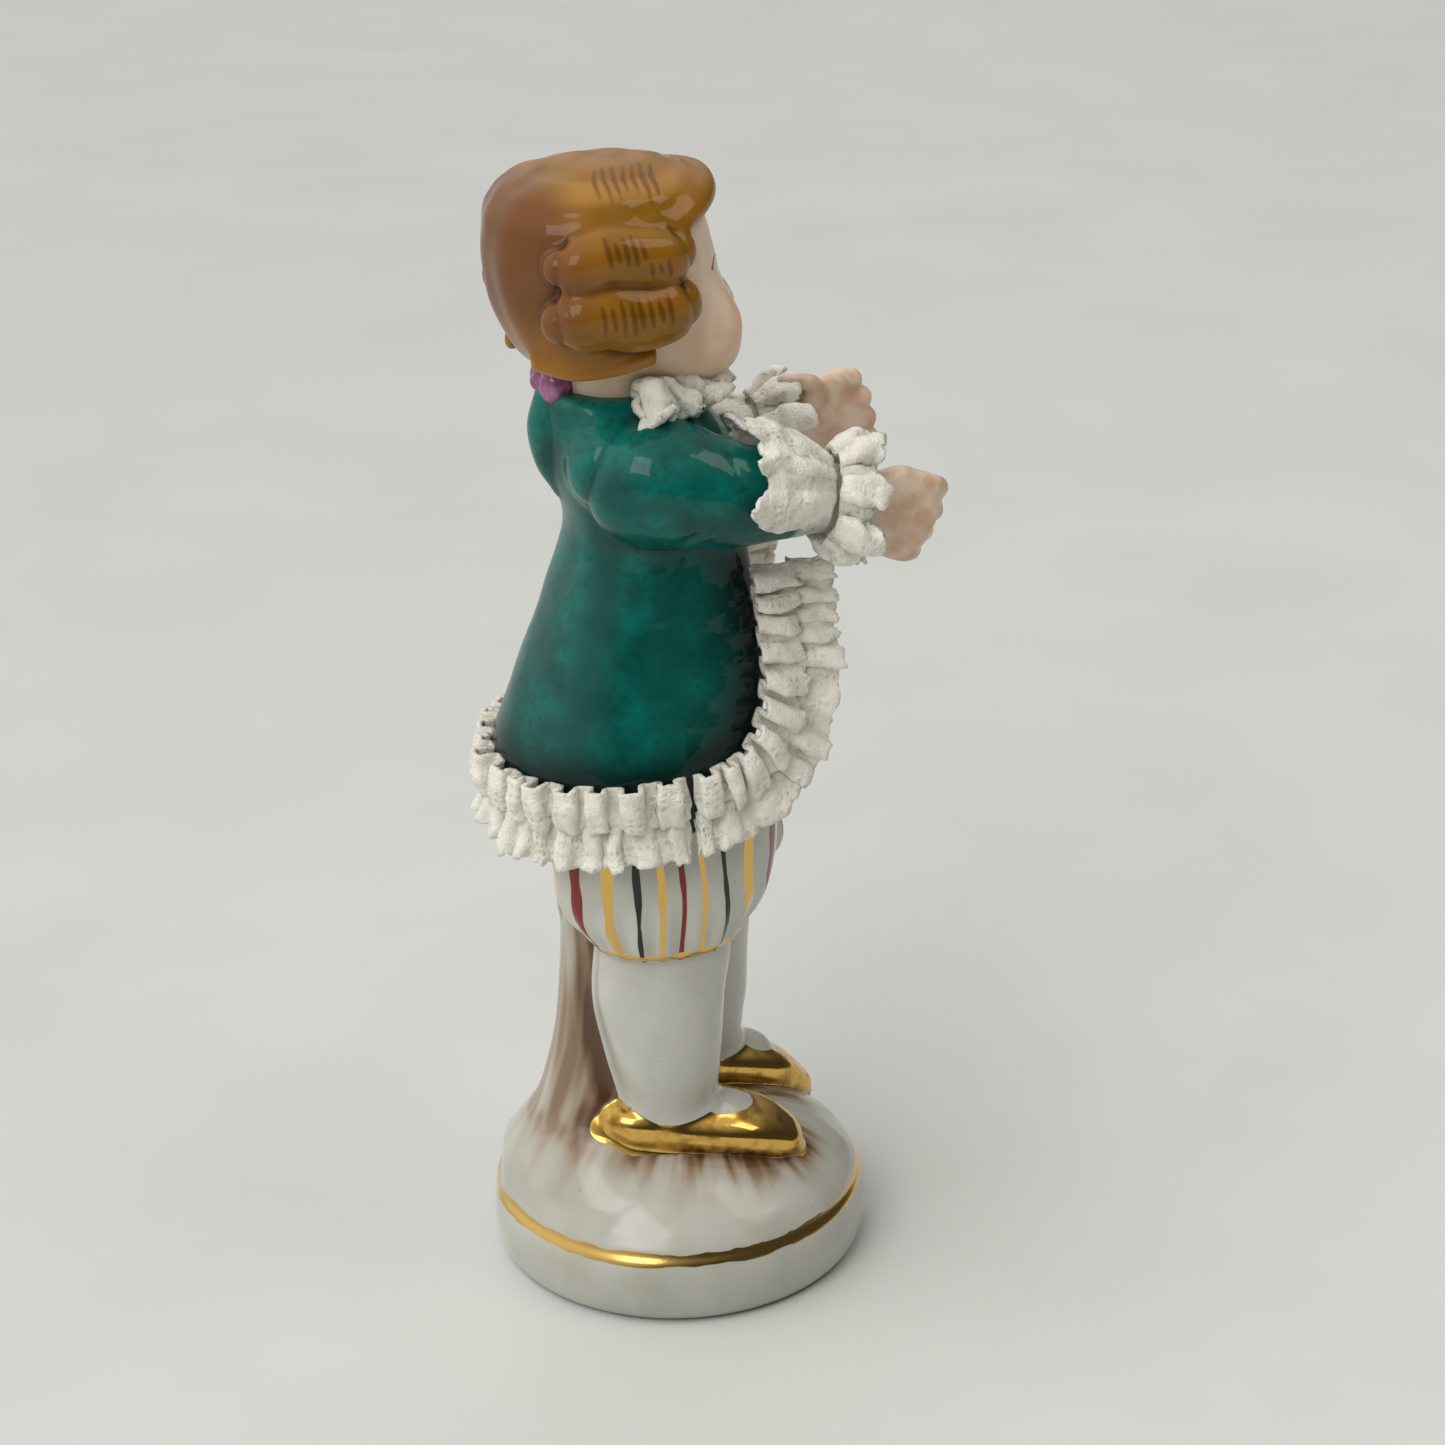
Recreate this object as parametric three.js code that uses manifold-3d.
// A porcelain figurine of a boy in eighteenth-century court dress, modelled as the pieces that a
// porcelain repairer joins with slip before firing: castings for the base, legs, torso, coat, arms
// and head, and strips of slip-dipped lace for the frills.
// Millimetres, +Z up. The boy faces -Y and his right hand is at -X. The origin is the centre of the
// underside of the base.
import * as THREE from "three";
import { mergeVertices } from "three/addons/utils/BufferGeometryUtils.js";
import Module from "manifold-3d";

const wasm = await Module();
wasm.setup();

// ---------------------------------------------------------------- driving dimensions
const CLEARANCE = 0.32; // slip line between two castings

// Base
const PLINTH_RADIUS = 20;
const PLINTH_HEIGHT = 8;
const MOUND_RISE = 7.6; // top of the mound above the plinth
const MOUND_LEAN = 0.1; // rise of the mound per millimetre towards the back
const BASE_WALL = 3;
const VENT_RADIUS = 3.4; // hole that lets the kiln gases out of the hollow base
const VENT_OFFSET = 8; // from the centre, towards the back

// Heights of the figure, each counted from the piece below
const SHIN_LENGTH = 23.6; // ground to the breeches' band
const BREECHES_LENGTH = 16.6;
const COAT_DROP = 1.4; // the coat's lower edge below the top of the breeches
const COAT_LENGTH = 43; // lower edge to collar
const CHIN_DROP = 0.4; // chin below the collar's height
const HEAD_HEIGHT = 22.6; // chin to crown

// Legs
const STANCE = 6.3; // half the distance between the legs' axes
const STRIDE = 6.6; // how far the left foot is in front of the right
const RIGHT_LEG_Y = 2.6;
const ANKLE_RADIUS = 5.3;
const CALF_RADIUS = 6.5;
const BAND_WIDTH = 6.2; // half width and half depth of the breeches at the knee band
const BAND_DEPTH = 7.8;
const SEAT_LAP = 0.6; // how far each half of the breeches would run past the middle
const SEAT_DEPTH = 11.6; // half depth of the breeches at the top
const SHOE_LENGTH = 20;
const SHOE_WIDTH = 9.4;
const SHOE_HEIGHT = 5;
const HEEL_SHARE = 0.34; // of the shoe's length, behind the leg's axis
const TOE_OUT = 0.2; // sideways run of the foot per millimetre forwards

// Tree stump that props the legs
const STUMP_RADIUS = 4.6;
const STUMP_Y = 8.4;

// Coat and torso, as half widths and half depths
const COAT_WALL = 1.7;
const SKIRT_WIDTH = 14.8;
const SKIRT_DEPTH = 15.6;
const WAIST_WIDTH = 9.8;
const WAIST_DEPTH = 9;
const CHEST_WIDTH = 10.4;
const CHEST_DEPTH = 9.4;
const COLLAR_RADIUS = 6.9;

// Arms
const SHOULDER_RADIUS = 6;
const SLEEVE_RADIUS = 4.8;
const WRIST_RADIUS = 2.8;
const ARM_SPREAD = 11.8; // half the distance between the arms
const SLEEVE_END_Y = -10;
const WRIST_Y = -17.4;
const LEFT_ARM_DROP = 2; // the left forearm below the right
const HAND_LENGTH = 8.6;
const HAND_DEPTH = 8.4; // across the four fingers

// Head
const HEAD_WIDTH = 9; // half width
const HEAD_DEPTH = 10.2; // half depth
const HEAD_TURN = 0.06; // radians, towards the boy's left
const NECK_RADIUS = 5.4;
const HAIR_THICKNESS = 1.5;
const UPPER_CURL = 2.9; // radii of the side curls
const LOWER_CURL = 3.5;
const CURL_LENGTH = 12.6;

// Lace
const LACE_THICKNESS = 0.7;
const INNER_TIER = 4.5; // widths of the two tiers of lace
const OUTER_TIER = 3.9;
const PLEAT_DEPTH = 1.5;
const PLEAT_PITCH = 2.9;

// ---------------------------------------------------------------- heights worked out from them
const GROUND_Z = PLINTH_HEIGHT + MOUND_RISE;
const BAND_Z = GROUND_Z + SHIN_LENGTH;
const SEAT_Z = BAND_Z + BREECHES_LENGTH;
const HEM_Z = SEAT_Z - COAT_DROP;
const SEAT_WIDTH = STANCE + SEAT_LAP; // half width of one half of the breeches
const COLLAR_Z = HEM_Z + COAT_LENGTH;
const CHIN_Z = COLLAR_Z - CHIN_DROP;
const coatZ = (share) => HEM_Z + share * COAT_LENGTH;
const headZ = (share) => CHIN_Z + share * HEAD_HEIGHT;
const NECK_Y = 4.4;
const FAR = PLINTH_RADIUS * 8; // beyond every piece
const RIGHT = -1;
const LEFT = 1;
const SIDES = [[RIGHT, "right"], [LEFT, "left"]];
const armZ = (side) => coatZ(0.79) - (side === LEFT ? LEFT_ARM_DROP : 0);

// ---------------------------------------------------------------- solids
function solidOf(geometry) {
  const bare = geometry.clone();
  bare.deleteAttribute("normal");
  bare.deleteAttribute("uv");
  const merged = mergeVertices(bare, 1e-4);
  const mesh = new wasm.Mesh({
    numProp: 3,
    vertProperties: merged.attributes.position.array,
    triVerts: new Uint32Array(merged.index.array),
  });
  return new wasm.Manifold(mesh);
}

function geometryOf(solid) {
  const mesh = solid.getMesh();
  const geometry = new THREE.BufferGeometry();
  geometry.setAttribute("position", new THREE.BufferAttribute(mesh.vertProperties, mesh.numProp));
  geometry.setIndex(new THREE.BufferAttribute(mesh.triVerts, 1));
  geometry.computeVertexNormals();
  return geometry;
}

const less = (solid, ...cutters) => cutters.reduce((rest, cutter) => rest.subtract(cutter), solid);
const join = (first, ...others) => others.reduce((sum, other) => sum.add(other), first);

// The largest body of a cut solid: a cut across pleats or curls can leave crumbs.
function largest(solid) {
  const bodies = solid.decompose();
  return bodies.reduce((best, body) => (body.volume() > best.volume() ? body : best));
}

// A closed solid over a list of rings of points, all with the same number of points. The ends are
// capped, or joined to each other when the rings go right round.
function skin(rings, { closed = false, pose = new THREE.Matrix4() } = {}) {
  const sides = rings[0].length;
  const points = rings.flat();
  const faces = [];
  const spans = closed ? rings.length : rings.length - 1;
  for (let i = 0; i < spans; i++) {
    const here = i * sides;
    const next = ((i + 1) % rings.length) * sides;
    for (let j = 0; j < sides; j++) {
      const k = (j + 1) % sides;
      faces.push([here + j, here + k, next + k], [here + j, next + k, next + j]);
    }
  }
  if (!closed) {
    for (const [start, turned] of [[0, false], [(rings.length - 1) * sides, true]]) {
      const middle = new THREE.Vector3();
      rings[start / sides].forEach((point) => middle.addScaledVector(point, 1 / sides));
      points.push(middle);
      for (let j = 0; j < sides; j++) {
        const face = [points.length - 1, start + ((j + 1) % sides), start + j];
        faces.push(turned ? face.reverse() : face);
      }
    }
  }
  const geometry = new THREE.BufferGeometry().setFromPoints(points).applyMatrix4(pose);
  geometry.setIndex(faces.flat());
  const solid = solidOf(geometry);
  if (solid.volume() > 0) return solid;
  geometry.setIndex(faces.map((face) => face.reverse()).flat());
  return solidOf(geometry);
}

// Smooth values between key rows of numbers, by their first number.
function smoothRows(rows) {
  const size = rows[0].length - 1;
  const curve = new THREE.CubicInterpolant(
    new Float64Array(rows.map((row) => row[0])),
    new Float64Array(rows.flatMap((row) => row.slice(1))),
    size,
    new Float64Array(size),
  );
  return (t) => [...curve.evaluate(t)];
}

// A point on an oval; squareness 2 is an ellipse and more is boxier.
function ovalPoint(angle, squareness) {
  const power = 2 / squareness;
  const [c, s] = [Math.cos(angle), Math.sin(angle)];
  return [Math.sign(c) * Math.abs(c) ** power, Math.sign(s) * Math.abs(s) ** power];
}

// A solid of level ovals. Each row is height, centre x, centre y, half width and half depth.
function stack(rows, { grow = 0, sides = 20, steps = 8, squareness = 2, pose } = {}) {
  const at = smoothRows(rows);
  const low = rows[0][0];
  const high = rows[rows.length - 1][0];
  const rings = [];
  for (let i = 0; i <= steps; i++) {
    const height = low + ((high - low) * i) / steps;
    const [x, y, halfWidth, halfDepth] = at(height);
    const z = height + (i === 0 ? -grow : 0) + (i === steps ? grow : 0);
    const ring = [];
    for (let j = 0; j < sides; j++) {
      const [across, along] = ovalPoint((2 * Math.PI * j) / sides, squareness);
      ring.push(new THREE.Vector3(x + across * (halfWidth + grow), y + along * (halfDepth + grow), z));
    }
    rings.push(ring);
  }
  return skin(rings, { pose });
}

// A limb of ovals along a path. Each row is x, y, z, half width and half height.
function limb(rows, { grow = 0, sides = 12, steps = 3, squareness = 2, pose } = {}) {
  const at = smoothRows(rows.map((row, i) => [i, ...row]));
  const last = rows.length - 1;
  const count = steps * last;
  const nearby = 0.05;
  const side = new THREE.Vector3(1, 0, 0);
  const rings = [];
  for (let i = 0; i <= count; i++) {
    const t = (last * i) / count;
    const [x, y, z, halfWidth, halfHeight] = at(t);
    const before = new THREE.Vector3(...at(Math.max(0, t - nearby)));
    const along = new THREE.Vector3(...at(Math.min(last, t + nearby))).sub(before).normalize();
    const up = new THREE.Vector3().crossVectors(along, side).normalize();
    side.crossVectors(up, along).normalize();
    const centre = new THREE.Vector3(x, y, z);
    centre.addScaledVector(along, (i === 0 ? -grow : 0) + (i === count ? grow : 0));
    const ring = [];
    for (let j = 0; j < sides; j++) {
      const [across, above] = ovalPoint((2 * Math.PI * j) / sides, squareness);
      const point = centre.clone();
      point.addScaledVector(side, across * (halfWidth + grow));
      point.addScaledVector(up, above * (halfHeight + grow));
      ring.push(point);
    }
    rings.push(ring);
  }
  return skin(rings, { pose });
}

function ball(centre, radii, { grow = 0, sides = 14, pose } = {}) {
  const geometry = new THREE.SphereGeometry(1, sides, Math.round(sides * 0.6));
  geometry.scale(...radii.map((radius) => radius + grow));
  geometry.translate(...centre);
  if (pose) geometry.applyMatrix4(pose);
  return solidOf(geometry);
}

function block(low, high, pose) {
  const size = high.map((value, i) => value - low[i]);
  const geometry = new THREE.BoxGeometry(...size);
  geometry.translate(...low.map((value, i) => value + size[i] / 2));
  if (pose) geometry.applyMatrix4(pose);
  return solidOf(geometry);
}

// ---------------------------------------------------------------- materials
const glaze = (color, roughness) =>
  new THREE.MeshStandardMaterial({ color, roughness, metalness: 0 });
const WHITE_GLAZE = () => glaze("#e4e4e0", 0.15);
const GREEN_GLAZE = () => glaze("#0b5647", 0.1);
const HAIR_GLAZE = () => glaze("#96672f", 0.15);
const FLESH = () => glaze("#e6c8b6", 0.4);
const PURPLE_GLAZE = () => glaze("#86377a", 0.15);
const LACE = () => glaze("#d6d6cb", 0.85);
const GILDING = () =>
  new THREE.MeshStandardMaterial({ color: "#d9a441", roughness: 0.2, metalness: 1 });

const figurine = new THREE.Group();

function addPiece(name, solid, material) {
  const mesh = new THREE.Mesh(geometryOf(solid), material());
  mesh.name = name;
  figurine.add(mesh);
}

// ---------------------------------------------------------------- base
// The mound's profile as shares of the plinth's radius and of the mound's rise.
const MOUND_PROFILE = [[0.97, 0.03], [0.9, 0.27], [0.79, 0.53], [0.64, 0.77], [0.44, 0.94], [0, 1]];
const leanAt = (y, z) => MOUND_LEAN * y * THREE.MathUtils.smoothstep(z, PLINTH_HEIGHT, GROUND_Z);

// The height of the mound's surface under a point.
function groundAt(x, y) {
  const share = THREE.MathUtils.clamp(Math.hypot(x, y) / PLINTH_RADIUS, 0, MOUND_PROFILE[0][0]);
  const outer = MOUND_PROFILE.findIndex(([radius]) => radius <= share);
  const [r1, h1] = MOUND_PROFILE[Math.max(0, outer - 1)];
  const [r0, h0] = MOUND_PROFILE[outer];
  const between = r1 === r0 ? 0 : (share - r0) / (r1 - r0);
  const z = PLINTH_HEIGHT + MOUND_RISE * THREE.MathUtils.lerp(h0, h1, between);
  return z + leanAt(y, z);
}

function moundSolid(grow = 0) {
  const plinth = [
    [0, 0],
    [0.9, 0],
    [0.965, 0.07],
    [1, 0.21],
    [1.012, 0.45],
    [1.01, 0.76],
    [0.985, 1],
  ].map(([radius, height]) => [radius * PLINTH_RADIUS, height * PLINTH_HEIGHT]);
  const mound = MOUND_PROFILE.map(([radius, rise]) => [
    radius * PLINTH_RADIUS,
    PLINTH_HEIGHT + rise * MOUND_RISE,
  ]);
  const outline = [...plinth, ...mound].map(([radius, z], i) => {
    const wide = radius === 0 ? 0 : radius + grow;
    return new THREE.Vector2(wide, z + (i < plinth.length ? -grow : grow));
  });
  const geometry = new THREE.LatheGeometry(outline, 36);
  geometry.rotateX(Math.PI / 2);
  const at = geometry.attributes.position;
  for (let i = 0; i < at.count; i++) at.setZ(i, at.getZ(i) + leanAt(at.getY(i), at.getZ(i)));
  return solidOf(geometry);
}

function baseSolid() {
  const inner = PLINTH_RADIUS - BASE_WALL;
  const hollow = stack(
    [
      [BASE_WALL, 0, 0, inner * 0.94, inner * 0.94],
      [PLINTH_HEIGHT * 0.7, 0, 0, inner, inner],
      [PLINTH_HEIGHT, 0, 0, inner * 0.94, inner * 0.94],
      [PLINTH_HEIGHT + MOUND_RISE * 0.3, 0, 0, inner * 0.7, inner * 0.7],
    ],
    { steps: 6 },
  );
  const vent = stack(
    [
      [-BASE_WALL, 0, VENT_OFFSET, VENT_RADIUS, VENT_RADIUS],
      [BASE_WALL * 1.5, 0, VENT_OFFSET, VENT_RADIUS, VENT_RADIUS],
    ],
    { steps: 1 },
  );
  return less(moundSolid(), hollow, vent);
}
addPiece("base_mound", baseSolid(), WHITE_GLAZE);
const moundGrown = moundSolid(CLEARANCE);

// ---------------------------------------------------------------- legs
const legX = (side) => side * STANCE;
const legY = (side) => RIGHT_LEG_Y - (side === LEFT ? STRIDE : 0);

function stockingSolid(side, grow = 0) {
  const x = legX(side);
  const y = legY(side);
  const foot = groundAt(x, y) + 0.5;
  const shin = BAND_Z - foot;
  const leg = stack(
    [
      [foot, x, y, ANKLE_RADIUS * 0.7, ANKLE_RADIUS],
      [foot + shin * 0.22, x, y, ANKLE_RADIUS * 0.86, ANKLE_RADIUS],
      [foot + shin * 0.42, x, y + 0.3, CALF_RADIUS * 0.88, CALF_RADIUS * 0.92],
      [foot + shin * 0.7, x, y + 0.6, CALF_RADIUS * 0.93, CALF_RADIUS * 1.04],
      [BAND_Z, x, y, BAND_WIDTH * 0.9, BAND_DEPTH * 0.88],
      [BAND_Z + 2.5, x, y, BAND_WIDTH * 0.86, BAND_DEPTH * 0.84],
    ],
    { grow, sides: 18 },
  );
  const ahead = SHOE_LENGTH * 0.24;
  const instepX = x + side * TOE_OUT * ahead;
  const instep = ball(
    [instepX, y - ahead, groundAt(instepX, y - ahead) + SHOE_HEIGHT * 0.45],
    [SHOE_WIDTH * 0.38, SHOE_LENGTH * 0.22, SHOE_HEIGHT * 0.6],
    { grow },
  );
  return join(leg, instep);
}

// A low slipper that follows the mound, cut away at the instep.
function shoeSolid(side, grow = 0) {
  const heelY = legY(side) + SHOE_LENGTH * HEEL_SHARE;
  const at = (share, halfWidth, halfHeight) => {
    const y = heelY - share * SHOE_LENGTH;
    const x = legX(side) + side * TOE_OUT * (share - HEEL_SHARE) * SHOE_LENGTH;
    return [x, y, groundAt(x, y) + halfHeight - 0.5, halfWidth * SHOE_WIDTH, halfHeight];
  };
  const rows = [
    at(0, 0.3, SHOE_HEIGHT * 0.48),
    at(0.12, 0.46, SHOE_HEIGHT * 0.56),
    at(0.4, 0.5, SHOE_HEIGHT * 0.5),
    at(0.72, 0.5, SHOE_HEIGHT * 0.48),
    at(0.93, 0.34, SHOE_HEIGHT * 0.36),
    at(1, 0.17, SHOE_HEIGHT * 0.22),
  ];
  return limb(rows, { grow, steps: 2, squareness: 2.5 });
}

// All that lies on the other side of the figure's middle, from a distance short of it.
function otherSide(side, gap) {
  return side === LEFT
    ? block([-FAR, -FAR, -FAR], [gap, FAR, FAR])
    : block([-gap, -FAR, -FAR], [FAR, FAR, FAR]);
}

function breechesSolid(side, grow = 0) {
  const x = legX(side);
  const y = legY(side);
  const seatY = y + (side === LEFT ? STRIDE * 0.6 : -STRIDE * 0.1);
  const half = stack(
    [
      [BAND_Z, x, y, BAND_WIDTH * 0.98, BAND_DEPTH * 0.98],
      [BAND_Z + 1.2, x, y, BAND_WIDTH * 1.02, BAND_DEPTH * 1.05],
      [BAND_Z + BREECHES_LENGTH * 0.2, x, y, SEAT_WIDTH * 0.97, SEAT_DEPTH * 0.86],
      [BAND_Z + BREECHES_LENGTH * 0.5, x, (y + seatY) / 2, SEAT_WIDTH, SEAT_DEPTH],
      [SEAT_Z, x, seatY, SEAT_WIDTH * 0.97, SEAT_DEPTH * 0.97],
    ],
    { grow, steps: 7, squareness: 2.2 },
  );
  return less(half, otherSide(side, CLEARANCE / 2 - grow));
}

for (const [side, word] of SIDES) {
  const leg = stockingSolid(side, CLEARANCE);
  const otherBreeches = breechesSolid(-side, CLEARANCE);
  const otherHalf = otherSide(side, CLEARANCE / 2);
  addPiece(`${word}_shoe`, largest(less(shoeSolid(side), leg, moundGrown, otherHalf)), GILDING);
  const stocking = less(stockingSolid(side), moundGrown, otherBreeches, otherHalf);
  addPiece(`${word}_stocking`, largest(stocking), WHITE_GLAZE);
  addPiece(`${word}_breeches_leg`, largest(less(breechesSolid(side), leg)), WHITE_GLAZE);
}
const legsGrown = SIDES.flatMap(([side]) => [
  stockingSolid(side, CLEARANCE),
  breechesSolid(side, CLEARANCE),
]);

// ---------------------------------------------------------------- tree stump
function stumpSolid() {
  const low = GROUND_Z - MOUND_RISE * 0.5;
  const high = SEAT_Z - BREECHES_LENGTH * 0.2;
  const rise = high - low;
  const at = (share, y, halfWidth, halfDepth) => [
    low + rise * share,
    0,
    STUMP_Y + y,
    STUMP_RADIUS * halfWidth,
    STUMP_RADIUS * halfDepth,
  ];
  return stack(
    [
      at(0, 0.3, 2.3, 2),
      at(0.1, 0.2, 1.8, 1.65),
      at(0.25, 0.1, 1.3, 1.22),
      at(0.55, -0.6, 1.05, 0.95),
      at(1, 0, 1.05, 1),
    ],
    { sides: 16, steps: 7 },
  );
}
const shoesGrown = SIDES.map(([side]) => shoeSolid(side, CLEARANCE));
const stump = less(stumpSolid(), moundGrown, ...legsGrown, ...shoesGrown);
addPiece("tree_stump", largest(stump), WHITE_GLAZE);

// ---------------------------------------------------------------- neck and skull
const TORSO_TOP = coatZ(0.9);

function neckSolid(grow = 0) {
  const rows = [
    [TORSO_TOP + CLEARANCE * 2, 0, NECK_Y, NECK_RADIUS, NECK_RADIUS],
    [COLLAR_Z, 0, NECK_Y, NECK_RADIUS, NECK_RADIUS],
    [headZ(0.3), 0, NECK_Y, NECK_RADIUS * 1.1, NECK_RADIUS * 1.1],
  ];
  return stack(rows, { grow, sides: 18, steps: 3 });
}

const HEAD_POSE = new THREE.Matrix4()
  .makeTranslation(0, NECK_Y, 0)
  .multiply(new THREE.Matrix4().makeRotationZ(HEAD_TURN))
  .multiply(new THREE.Matrix4().makeTranslation(0, -NECK_Y, 0));
const onHead = { pose: HEAD_POSE };

function skullSolid(grow = 0) {
  const rows = [
    [headZ(0.02), 0, -0.6, HEAD_WIDTH * 0.42, HEAD_DEPTH * 0.5],
    [headZ(0.1), 0, 0, HEAD_WIDTH * 0.7, HEAD_DEPTH * 0.72],
    [headZ(0.25), 0, 1.4, HEAD_WIDTH * 0.92, HEAD_DEPTH * 0.86],
    [headZ(0.42), 0, 3, HEAD_WIDTH * 0.98, HEAD_DEPTH * 0.95],
    [headZ(0.62), 0, 4.4, HEAD_WIDTH, HEAD_DEPTH],
    [headZ(0.8), 0, 4.8, HEAD_WIDTH * 0.86, HEAD_DEPTH * 0.87],
    [headZ(0.91), 0, 4.8, HEAD_WIDTH * 0.5, HEAD_DEPTH * 0.5],
  ];
  return stack(rows, { ...onHead, grow });
}
const skullGrown = skullSolid(CLEARANCE);
const neckGrown = neckSolid(CLEARANCE);

// ---------------------------------------------------------------- torso and coat
const COAT_SQUARENESS = 2.3;
const COAT_ROWS = [
  [coatZ(0), 0, 2.5, SKIRT_WIDTH * 1.03, SKIRT_DEPTH * 1.01],
  [coatZ(0.13), 0, 2.2, SKIRT_WIDTH * 0.98, SKIRT_DEPTH * 0.98],
  [coatZ(0.29), 0, 1.6, SKIRT_WIDTH * 0.88, SKIRT_DEPTH * 0.87],
  [coatZ(0.48), 0, 0.9, WAIST_WIDTH * 1.13, WAIST_DEPTH * 1.23],
  [coatZ(0.65), 0, 0.5, WAIST_WIDTH, WAIST_DEPTH],
  [coatZ(0.83), 0, 1.8, CHEST_WIDTH, CHEST_DEPTH],
  [coatZ(0.93), 0, 3.2, CHEST_WIDTH * 0.9, CHEST_DEPTH * 0.88],
  [coatZ(1), 0, NECK_Y, COLLAR_RADIUS, COLLAR_RADIUS],
];
const coatAt = smoothRows(COAT_ROWS);
const coatOuter = (grow = 0) =>
  stack(COAT_ROWS, { grow, sides: 28, steps: 13, squareness: COAT_SQUARENESS });

// The torso fills the coat above the waist and shows as the waistcoat between the coat's fronts.
function torsoSolid(grow = 0) {
  const within = COAT_WALL + CLEARANCE;
  const rows = [
    [SEAT_Z + CLEARANCE, 0, 0.6, SEAT_WIDTH * 1.5, SEAT_DEPTH * 0.85],
    [coatZ(0.29), 0, 0.2, WAIST_WIDTH - within * 0.6, WAIST_DEPTH],
    [coatZ(0.48), 0, -0.5, WAIST_WIDTH - within * 0.8, WAIST_DEPTH * 0.95],
    [coatZ(0.65), 0, -0.8, WAIST_WIDTH - within, WAIST_DEPTH * 0.87],
    [coatZ(0.8), 0, 0, CHEST_WIDTH - within, CHEST_DEPTH * 0.85],
    [TORSO_TOP, 0, 2.2, COLLAR_RADIUS, COLLAR_RADIUS],
  ];
  return stack(rows, { grow });
}

// The coat's trimmed edge seen from the side, from the top of the front down and back to the hem.
const TRIM_TOP = coatZ(0.58);
const TRIM_EDGE = [
  [-6.7, TRIM_TOP],
  [-6.9, coatZ(0.44)],
  [-6.4, coatZ(0.3)],
  [-3.8, coatZ(0.19)],
  [1.6, coatZ(0.145)],
];
const trimCurve = new THREE.SplineCurve(TRIM_EDGE.map(([y, z]) => new THREE.Vector2(y, z)));

// The front opening: all that lies in front of the trimmed edge, less the seam's width.
function frontCut() {
  const seam = 1.2;
  const edge = trimCurve
    .getPoints(12)
    .map((point) => new THREE.Vector2(point.x - seam, point.y - seam));
  const outline = new THREE.Shape([
    new THREE.Vector2(edge[0].x, coatZ(1.2)),
    ...edge,
    new THREE.Vector2(edge[edge.length - 1].x + seam * 2, coatZ(-0.2)),
    new THREE.Vector2(-FAR, coatZ(-0.2)),
    new THREE.Vector2(-FAR, coatZ(1.2)),
  ]);
  const geometry = new THREE.ExtrudeGeometry(outline, { depth: FAR * 2, bevelEnabled: false });
  geometry.translate(0, 0, -FAR);
  const turned = new THREE.Matrix4().makeBasis(
    new THREE.Vector3(0, 1, 0),
    new THREE.Vector3(0, 0, 1),
    new THREE.Vector3(1, 0, 0),
  );
  geometry.applyMatrix4(turned);
  return solidOf(geometry);
}

function coatSolid() {
  const lining = COAT_ROWS.slice(0, 5).map(([z, x, y, width, depth], i) => [
    i === 0 ? z - COAT_WALL : z,
    x,
    y,
    width - COAT_WALL,
    depth - COAT_WALL,
  ]);
  const hollow = stack(lining, { sides: 28, squareness: COAT_SQUARENESS });
  const filled = [hollow, torsoSolid(CLEARANCE), frontCut(), neckGrown, skullGrown, ...legsGrown];
  return largest(less(coatOuter(), ...filled));
}
addPiece("torso_waistcoat", torsoSolid(), WHITE_GLAZE);
addPiece("coat_body", coatSolid(), GREEN_GLAZE);
const coatGrown = coatOuter(CLEARANCE);

// ---------------------------------------------------------------- head and hair
function headSolid() {
  const cheeks = [LEFT, RIGHT].map((side) =>
    ball([side * HEAD_WIDTH * 0.44, -3.8, headZ(0.29)], [4.1, 4.1, 4.4], onHead),
  );
  const chin = ball([0, -3.6, headZ(0.13)], [4.6, 4.1, 3], onHead);
  const nose = ball([0, -7.7, headZ(0.37)], [1.1, 1.2, 1.1], { ...onHead, sides: 10 });
  return join(skullSolid(), neckSolid(), ...cheeks, chin, nose);
}
const head = headSolid();
addPiece("head", head, FLESH);

function hairOuter(grow = 0) {
  const wide = HEAD_WIDTH + HAIR_THICKNESS;
  const deep = HEAD_DEPTH + HAIR_THICKNESS * 0.6;
  const rows = [
    [headZ(0.12), 0, 9, wide * 0.45, deep * 0.26],
    [headZ(0.2), 0, 7.8, wide * 0.74, deep * 0.52],
    [headZ(0.33), 0, 6.6, wide * 0.92, deep * 0.78],
    [headZ(0.52), 0, 5.6, wide * 0.99, deep * 0.97],
    [headZ(0.7), 0, 5.4, wide, deep],
    [headZ(0.85), 0, 5.2, wide * 0.93, deep * 0.94],
    [headZ(0.94), 0, 4.8, wide * 0.76, deep * 0.78],
    [headZ(1), 0, 4.6, wide * 0.42, deep * 0.44],
  ];
  return stack(rows, { ...onHead, grow, sides: 26, steps: 10, squareness: 2.3 });
}
// The hair is open over the face, in front of a line that drops from the forehead to the cheeks.
function faceOpening() {
  const rows = [
    [headZ(-0.2), 0, -8, HEAD_WIDTH * 1.6, 10],
    [headZ(0.6), 0, -8, HEAD_WIDTH * 1.6, 10],
    [headZ(0.78), 0, -8, HEAD_WIDTH * 1.4, 8.8],
    [headZ(0.86), 0, -8.6, HEAD_WIDTH * 1.1, 5.6],
  ];
  return stack(rows, { ...onHead, squareness: 3 });
}
addPiece("hair_cap", largest(less(hairOuter(), skullGrown, neckGrown, faceOpening())), HAIR_GLAZE);
const hairGrown = hairOuter(CLEARANCE);

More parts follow.
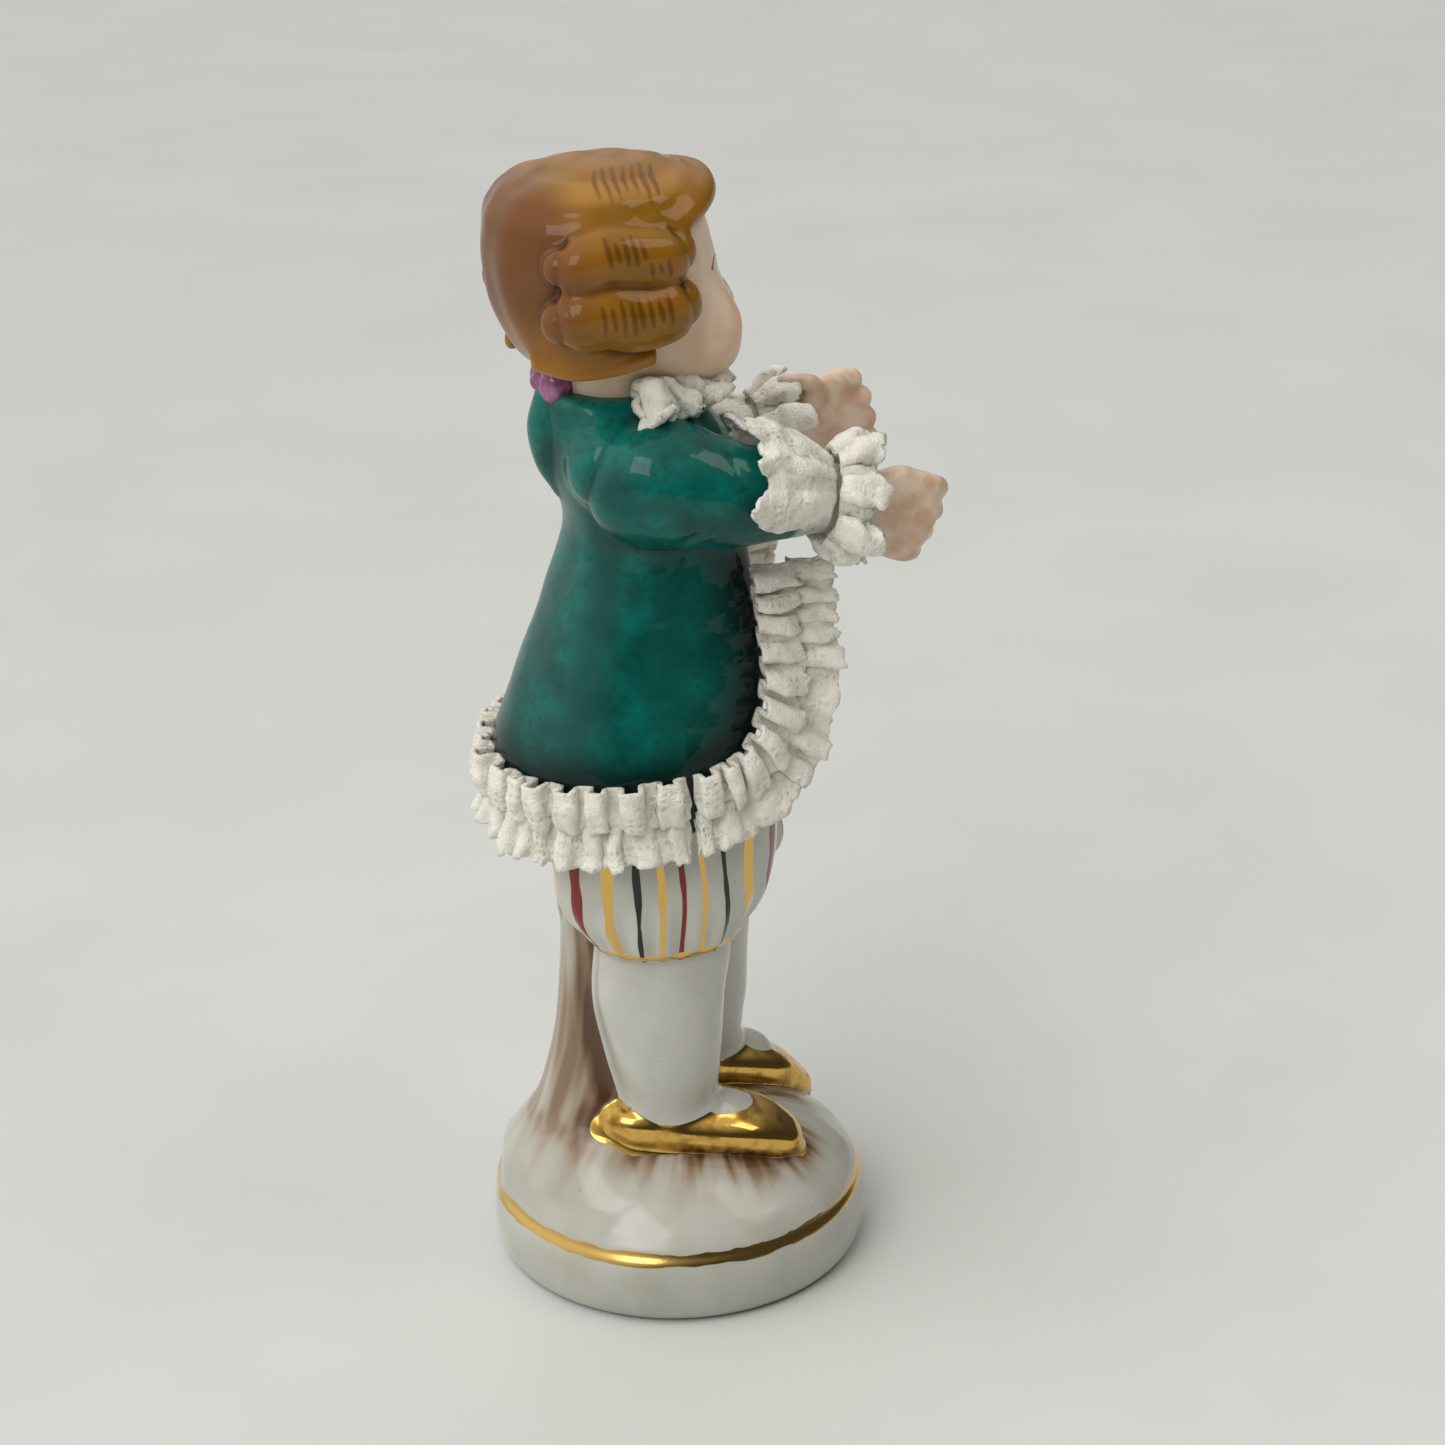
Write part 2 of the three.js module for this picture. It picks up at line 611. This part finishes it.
// The side curls are rolls that lie level over the ears.
const CURL_SEAM = headZ(0.575);
function curlSolid(side, height, radius) {
  const x = side * (HEAD_WIDTH + HAIR_THICKNESS * 0.3);
  const middle = NECK_Y + 2;
  const row = (share, out, size) => [
    x + side * out,
    middle + share * CURL_LENGTH,
    height,
    radius * size * 0.9,
    radius * size,
  ];
  const rows = [
    row(0.5, -0.2, 0.5),
    row(0.36, 0.3, 0.9),
    row(0, 0.6, 1),
    row(-0.36, 0, 0.92),
    row(-0.5, -0.4, 0.5),
  ];
  return limb(rows, { ...onHead, steps: 2 });
}
for (const [side, word] of SIDES) {
  const above = block([-FAR, -FAR, CURL_SEAM - CLEARANCE / 2], [FAR, FAR, FAR]);
  const below = block([-FAR, -FAR, -FAR], [FAR, FAR, CURL_SEAM + CLEARANCE / 2]);
  const upper = curlSolid(side, CURL_SEAM + UPPER_CURL * 0.8, UPPER_CURL);
  const lower = curlSolid(side, CURL_SEAM - LOWER_CURL * 0.85, LOWER_CURL);
  addPiece(`${word}_upper_curl`, largest(less(upper, hairGrown, skullGrown, below)), HAIR_GLAZE);
  addPiece(`${word}_lower_curl`, largest(less(lower, hairGrown, skullGrown, above)), HAIR_GLAZE);
}

// The queue: a ribbon at the nape and the end of the tied hair hanging below it.
const QUEUE_Y = 10.7;
function ribbonSolid(grow = 0) {
  const [wide, deep, tall] = [2.1, 1.7, 2.7];
  return join(
    ball([0, QUEUE_Y, COLLAR_Z + 0.8], [wide, deep, tall], { grow, sides: 14 }),
    ...[LEFT, RIGHT].map((side) => {
      const middle = [side * wide * 0.7, QUEUE_Y - 0.2, COLLAR_Z + 0.6];
      return ball(middle, [wide * 0.8, deep, tall * 0.8], { grow, sides: 12 });
    }),
  );
}
function queueSolid(grow = 0) {
  const rows = [
    [0, QUEUE_Y, COLLAR_Z - 0.6, 1.6, 1.4],
    [0, QUEUE_Y + 0.2, COLLAR_Z - 4, 2.5, 2],
    [0, QUEUE_Y - 0.1, COLLAR_Z - 7.6, 1.8, 1.6],
    [0, QUEUE_Y - 0.8, COLLAR_Z - 10.4, 0.7, 0.8],
  ];
  return limb(rows, { grow, steps: 3, sides: 12 });
}
const ribbon = less(ribbonSolid(), hairGrown, neckGrown, coatGrown);
addPiece("queue_ribbon", largest(ribbon), PURPLE_GLAZE);
addPiece("queue_tail", largest(less(queueSolid(), ribbonSolid(CLEARANCE), coatGrown)), GREEN_GLAZE);

// ---------------------------------------------------------------- arms
function sleeveSolid(side, grow = 0) {
  const shoulder = side * (CHEST_WIDTH - 1.2);
  const x = side * ARM_SPREAD;
  return limb(
    [
      [shoulder - side * 2.2, 7.6, coatZ(0.86), SHOULDER_RADIUS * 0.62, SHOULDER_RADIUS * 0.72],
      [shoulder, 4, coatZ(0.83), SHOULDER_RADIUS * 0.92, SHOULDER_RADIUS * 1.12],
      [x, -3, armZ(side) + 0.2, SLEEVE_RADIUS, SLEEVE_RADIUS * 1.14],
      [x, SLEEVE_END_Y, armZ(side) - 0.6, SLEEVE_RADIUS * 0.78, SLEEVE_RADIUS * 0.9],
    ],
    { grow, sides: 18 },
  );
}
const wristDrop = (side) => (side === LEFT ? 0.4 : 2.4);
const wristAt = (side) => [side * (ARM_SPREAD - 0.6), WRIST_Y, armZ(side) - wristDrop(side)];
function undersleeveSolid(side, grow = 0) {
  const wrist = wristAt(side);
  const start = [side * ARM_SPREAD, SLEEVE_END_Y + 2, armZ(side) - 0.5];
  const middle = wrist.map((value, i) => (value + start[i]) / 2);
  return limb(
    [
      [...start, SLEEVE_RADIUS * 0.62, SLEEVE_RADIUS * 0.72],
      [...middle, WRIST_RADIUS * 1.1, WRIST_RADIUS * 1.25],
      [...wrist, WRIST_RADIUS * 0.92, WRIST_RADIUS * 1.1],
    ],
    { grow },
  );
}

// A child's hand held on edge: a palm, four fingers side by side and a raised thumb. It hangs a
// little on the right and is lifted on the left.
function handSolid(side, grow = 0) {
  const [x, y, z] = wristAt(side);
  const [pitch, thumbRise] = side === RIGHT ? [0.42, 0.4] : [-0.3, 1.7];
  const pose = new THREE.Matrix4()
    .makeTranslation(x, y - CLEARANCE, z)
    .multiply(new THREE.Matrix4().makeRotationX(pitch));
  const inward = -side;
  const finger = HAND_DEPTH / 4;
  const palmEnd = -HAND_LENGTH * 0.5;
  const palm = limb(
    [
      [0, 0, 0, WRIST_RADIUS * 0.8, WRIST_RADIUS],
      [0, palmEnd * 0.5, -0.1, 2, HAND_DEPTH * 0.46],
      [0, palmEnd * 1.2, -0.2, 1.6, HAND_DEPTH * 0.47],
    ],
    { grow, pose },
  );
  const fingers = [0, 1, 2, 3].map((i) => {
    const height = (1.5 - i) * finger * 0.94 - 0.2;
    const reach = -HAND_LENGTH + Math.abs(i - 1.3) * 0.5;
    const rows = [
      [0, palmEnd * 0.7, height, finger * 0.5, finger * 0.54],
      [inward * 0.3, (palmEnd + reach) / 2, height, finger * 0.56, finger * 0.56],
      [inward * 1.2, reach, height, finger * 0.36, finger * 0.4],
    ];
    return limb(rows, { grow, steps: 2, sides: 8, pose });
  });
  const thumb = limb(
    [
      [inward * 0.9, palmEnd * 0.4, finger * 0.8, 1.1, 1.2],
      [inward * 1.7, palmEnd * 0.8, finger * (0.9 + thumbRise * 0.6), 1.05, 1.05],
      [inward * 2, palmEnd * (1.8 - thumbRise), finger * (1 + thumbRise), 0.6, 0.7],
    ],
    { grow, steps: 2, sides: 8, pose },
  );
  return join(palm, ...fingers, thumb);
}

const sleevesGrown = SIDES.map(([side]) => sleeveSolid(side, CLEARANCE));
const undersleevesGrown = SIDES.map(([side]) => undersleeveSolid(side, CLEARANCE));
SIDES.forEach(([side, word], i) => {
  const cut = [coatGrown, queueSolid(CLEARANCE), skullGrown];
  addPiece(`${word}_sleeve`, largest(less(sleeveSolid(side), ...cut)), GREEN_GLAZE);
  addPiece(`${word}_undersleeve`, less(undersleeveSolid(side), sleevesGrown[i]), WHITE_GLAZE);
  addPiece(`${word}_hand`, less(handSolid(side), undersleevesGrown[i]), FLESH);
});

// ---------------------------------------------------------------- lace
// A box-pleated strip. The route gives, for a share of its length, the seam's point, the way out
// of the surface and the way across the strip. Each row of the profile is a distance across, a
// stand-off and the share of the pleats' depth there.
function frill(route, length, profile, closed = false) {
  const columns = Math.max(4, Math.round(length / PLEAT_PITCH)) * 2;
  const rings = [];
  for (let i = 0; i < (closed ? columns : columns + 1); i++) {
    const { seam, out, across } = route(i / columns);
    const place = ([run, off, depth], outer) => {
      const stand = off + (i % 2) * depth * PLEAT_DEPTH + (outer ? LACE_THICKNESS : 0);
      return seam.clone().addScaledVector(across, run).addScaledVector(out, stand);
    };
    const back = profile.map((row) => place(row, false));
    const front = profile.map((row) => place(row, true)).reverse();
    rings.push([...back, ...front]);
  }
  return skin(rings, { closed });
}

// The point on the coat's side at a depth and height, with its outward direction.
function onCoat(y, z, side) {
  const [, centreY, width, depth] = coatAt(z);
  const run = THREE.MathUtils.clamp((y - centreY) / depth, -0.97, 0.97);
  const across = width * (1 - Math.abs(run) ** COAT_SQUARENESS) ** (1 / COAT_SQUARENESS);
  const flat = new THREE.Vector2(
    (across / width) ** (COAT_SQUARENESS - 1) / width,
    (Math.sign(run) * Math.abs(run) ** (COAT_SQUARENESS - 1)) / depth,
  ).normalize();
  const point = new THREE.Vector3(side * across, y, z);
  return { point, out: new THREE.Vector3(side * flat.x, flat.y, 0) };
}

const HEM_FLARE = 0.1;
// The front strips stand forward from the coat's edge, so their way across turns from forward to
// down as the edge runs into the hem.
function frontRoute(side) {
  return (share) => {
    const place = trimCurve.getPointAt(share);
    const { point, out } = onCoat(place.x, place.y, side);
    const turn = THREE.MathUtils.smoothstep(share, 0.3, 1);
    const swing = (turn * Math.PI) / 2;
    const across = new THREE.Vector3(0, -Math.cos(swing), -Math.sin(swing));
    across.addScaledVector(out, HEM_FLARE * turn);
    const away = new THREE.Vector3(side, 0, 0).lerp(out, turn).normalize();
    return { seam: point.addScaledVector(away, CLEARANCE), out: away, across: across.normalize() };
  };
}

// The hem's strips carry on from the front strips and drop a little towards the back.
const HEM_DROP = 1;
function hemRoute(share) {
  const [startY, startZ] = TRIM_EDGE[TRIM_EDGE.length - 1];
  const swing = Math.PI * share;
  const [, centreY, width, depth] = coatAt(startZ);
  const z = startZ - HEM_DROP * Math.sin(swing);
  const [x, y] = ovalPoint(swing, COAT_SQUARENESS);
  const first = startY + 0.5;
  const seam = new THREE.Vector3(x * width, Math.max(first, 0) + y * (centreY + depth - first), z);
  const out = new THREE.Vector3(Math.cos(swing) / width, Math.sin(swing) / depth, 0).normalize();
  const across = new THREE.Vector3(0, 0, -1).addScaledVector(out, HEM_FLARE).normalize();
  return { seam: seam.addScaledVector(out, CLEARANCE), out, across };
}

// Two tiers share a gathered line: the inner one stands up from it and the outer one hangs.
const INNER_PROFILE = [[0, 0.3, 0.9], [INNER_TIER * 0.5, 0.6, 1.1], [INNER_TIER, 0.3, 0.6]];
const OUTER_PROFILE = [
  [INNER_TIER + CLEARANCE, 0.1, 0.4],
  [INNER_TIER + OUTER_TIER * 0.5, 0.2, 0.5],
  [INNER_TIER + OUTER_TIER, 0.2, 0.6],
];
const hemLength = Math.PI * (SKIRT_WIDTH + SKIRT_DEPTH) * 0.5;
addPiece("hem_frill_upper", frill(hemRoute, hemLength, INNER_PROFILE), LACE);
addPiece("hem_frill_lower", frill(hemRoute, hemLength, OUTER_PROFILE), LACE);
for (const [side, word] of SIDES) {
  const strip = (profile) => frill(frontRoute(side), trimCurve.getLength() * 1.2, profile);
  addPiece(`${word}_front_frill_inner`, strip(INNER_PROFILE), LACE);
  addPiece(`${word}_front_frill_outer`, strip(OUTER_PROFILE), LACE);
}

// A ring or a part of a ring of lace round a wrist, between two angles counted from straight out.
function wristRoute(side, seamY, lean, from, to) {
  const low = new THREE.Vector3(side * ARM_SPREAD, SLEEVE_END_Y, armZ(side) - 0.6);
  const high = new THREE.Vector3(...wristAt(side));
  const along = high.clone().sub(low).normalize();
  const centre = low.clone().addScaledVector(along, (seamY - SLEEVE_END_Y) / along.y);
  const outward = new THREE.Vector3(side, 0, 0);
  const up = new THREE.Vector3(0, along.z, -along.y).normalize();
  const radius = WRIST_RADIUS * 1.25 + CLEARANCE;
  return (share) => {
    const angle = THREE.MathUtils.lerp(from, to, share);
    const out = outward.clone().multiplyScalar(Math.cos(angle)).addScaledVector(up, Math.sin(angle));
    const across = along.clone().multiplyScalar(Math.sign(lean)).addScaledVector(out, Math.abs(lean));
    return { seam: centre.clone().addScaledVector(out, radius), out, across: across.normalize() };
  };
}
const FLARE_PROFILE = [[0, 0.2, 0.2], [4, 0.6, 0.35], [9, 0.4, 0.5]];
const FALL_PROFILE = [[0, 0.2, 0.3], [2.6, 0.5, 0.6], [5.4, 0.3, 0.7]];
SIDES.forEach(([side, word], i) => {
  const [seamY, gap] = [-12.8, 0.9];
  const flare = frill(wristRoute(side, seamY, -0.24, -0.4, 2.7), 20, FLARE_PROFILE);
  const fall = frill(wristRoute(side, seamY - gap, 0.42, 0, Math.PI * 2), 24, FALL_PROFILE, true);
  const cut = [sleevesGrown[i], undersleevesGrown[i], coatGrown];
  addPiece(`${word}_cuff_flare`, largest(less(flare, ...cut)), LACE);
  addPiece(`${word}_cuff_fall`, largest(less(fall, ...cut, handSolid(side, CLEARANCE))), LACE);
});

// The neck ruffle lies on the coat's collar, and the jabot hangs below it in two tiers.
function neckRoute(share) {
  const angle = Math.PI * (1 + share);
  const ring = new THREE.Vector3(Math.cos(angle), Math.sin(angle), 0);
  const seam = new THREE.Vector3(ring.x, ring.y, 0).multiplyScalar(NECK_RADIUS + CLEARANCE * 2);
  seam.add(new THREE.Vector3(0, NECK_Y, COLLAR_Z + 0.8));
  const across = ring.clone().add(new THREE.Vector3(0, 0, -0.62)).normalize();
  return { seam, out: new THREE.Vector3(ring.x * 0.5, ring.y * 0.5, 1).normalize(), across };
}
const NECK_PROFILE = [[0, 0.2, 0.3], [3, 0.5, 1], [6.2, 0.2, 1.2]];
const headGrown = join(skullGrown, neckGrown, ball([0, -3.6, headZ(0.13)], [4.9, 4.4, 3.3], onHead));
const ruffleCut = [coatGrown, headGrown, torsoSolid(CLEARANCE), ...sleevesGrown];
addPiece("collar_ruffle", largest(less(frill(neckRoute, 24, NECK_PROFILE), ...ruffleCut)), LACE);

function jabotRoute(z) {
  return (share) => {
    const x = (share - 0.5) * 9;
    return {
      seam: new THREE.Vector3(x, -8.6 + Math.abs(x) * 0.12, z),
      out: new THREE.Vector3(x * 0.03, -1, 0.1).normalize(),
      across: new THREE.Vector3(x * 0.04, -0.18, -1).normalize(),
    };
  };
}
const JABOT_PROFILE = [[0, 0, 0.4], [1.8, 0.2, 0.8], [3.8, 0.4, 1]];
const JABOT_TOP = coatZ(0.86);
const JABOT_STEP = 4.3; // the lower tier below the upper one
[["upper", JABOT_TOP], ["lower", JABOT_TOP - JABOT_STEP]].forEach(([word, z]) => {
  const strip = less(frill(jabotRoute(z), 12, JABOT_PROFILE), torsoSolid(CLEARANCE), coatGrown);
  addPiece(`jabot_${word}`, largest(strip), LACE);
});

export default figurine;
